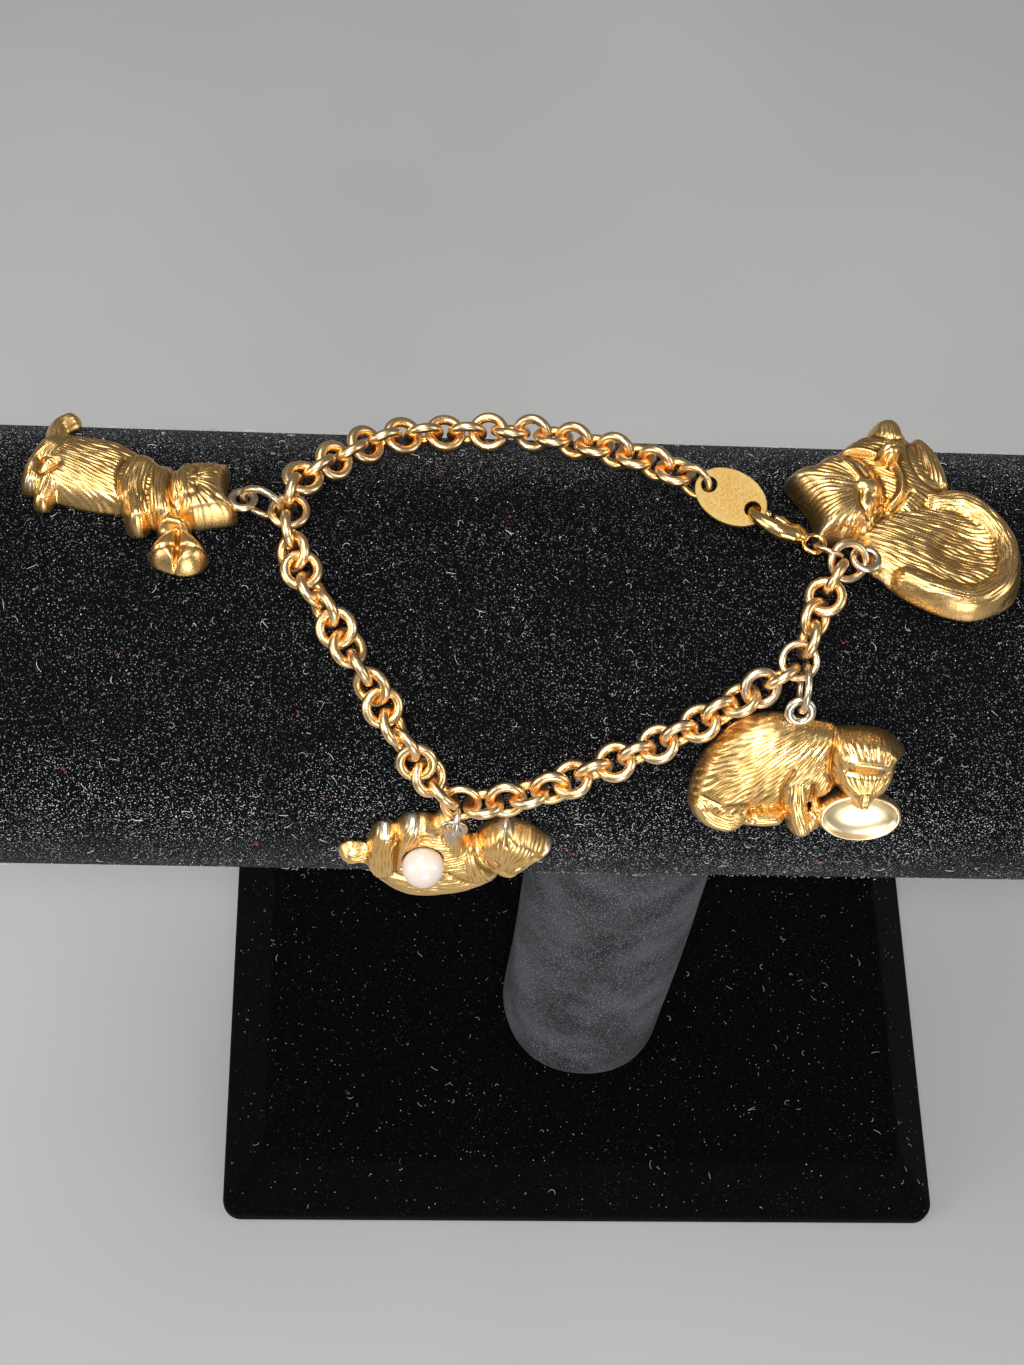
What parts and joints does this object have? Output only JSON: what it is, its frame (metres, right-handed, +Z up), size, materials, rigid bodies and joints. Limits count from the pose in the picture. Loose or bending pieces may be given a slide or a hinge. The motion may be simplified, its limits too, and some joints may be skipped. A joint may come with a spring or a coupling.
{
  "type": "charm bracelet on a t-bar display stand",
  "caption": "Gold-tone cable-link charm bracelet with cat charms, a pearl, an oval tag and a lobster clasp, laid over the velvet bar of a T-bar display stand.",
  "frame": {"origin": "centre of the underside of the stand's base", "axes": "+Z up, X along the padded bar, -Y is the front, where the charms hang over the bar"},
  "size_m": [0.2, 0.07, 0.163],
  "materials": {
    "stand_velvet": "black velvet with a little lint",
    "stem_velvet": "black velvet, brushed paler, with pressed dark patches",
    "bar_velvet": "black velvet full of fine bright fibre glints",
    "gold_plate": "polished gold plate, orange in the recesses",
    "worn_plate": "gold plate worn through to grey metal",
    "cast_gold": "cast gold plate with engraved fur, grey where worn at the tips",
    "nacre": "creamy pink pearl lustre"
  },
  "bodies": {
    "bracelet_on_stand": {"stand_base": "stand_velvet", "stand_stem": "stem_velvet", "stand_bar": "bar_velvet", "chain_1": "gold_plate", "chain_2": "gold_plate", "chain_3": "gold_plate", "chain_4": "gold_plate", "bow_cat_link": "gold_plate", "pearl_cat_link": "gold_plate", "bowl_cat_link": "gold_plate", "clasp_body": "gold_plate", "tag": "gold_plate", "tag_ring": "gold_plate", "jump_link": "gold_plate", "bow_cat_ring": "worn_plate", "pearl_cat_ring": "worn_plate", "bowl_cat_ring": "worn_plate", "end_ring": "worn_plate", "bow_cat": "cast_gold", "pearl_cat": "cast_gold", "bowl_cat": "cast_gold", "curled_cat": "cast_gold", "pearl": "nacre"},
    "clasp_lever": {"clasp_lever": "gold_plate"}
  },
  "joints": [
    {"name": "clasp_lever_hinge", "type": "hinge", "parent": "bracelet_on_stand", "child": "clasp_lever", "pos_m": [0.01049, 0.00082, 0.15956], "axis": [0.31, 0.491, 0.8141], "range_deg": [0, 25], "stiffness_Nm_per_rad": 0.0005, "springref_deg": -5.73}
  ]
}
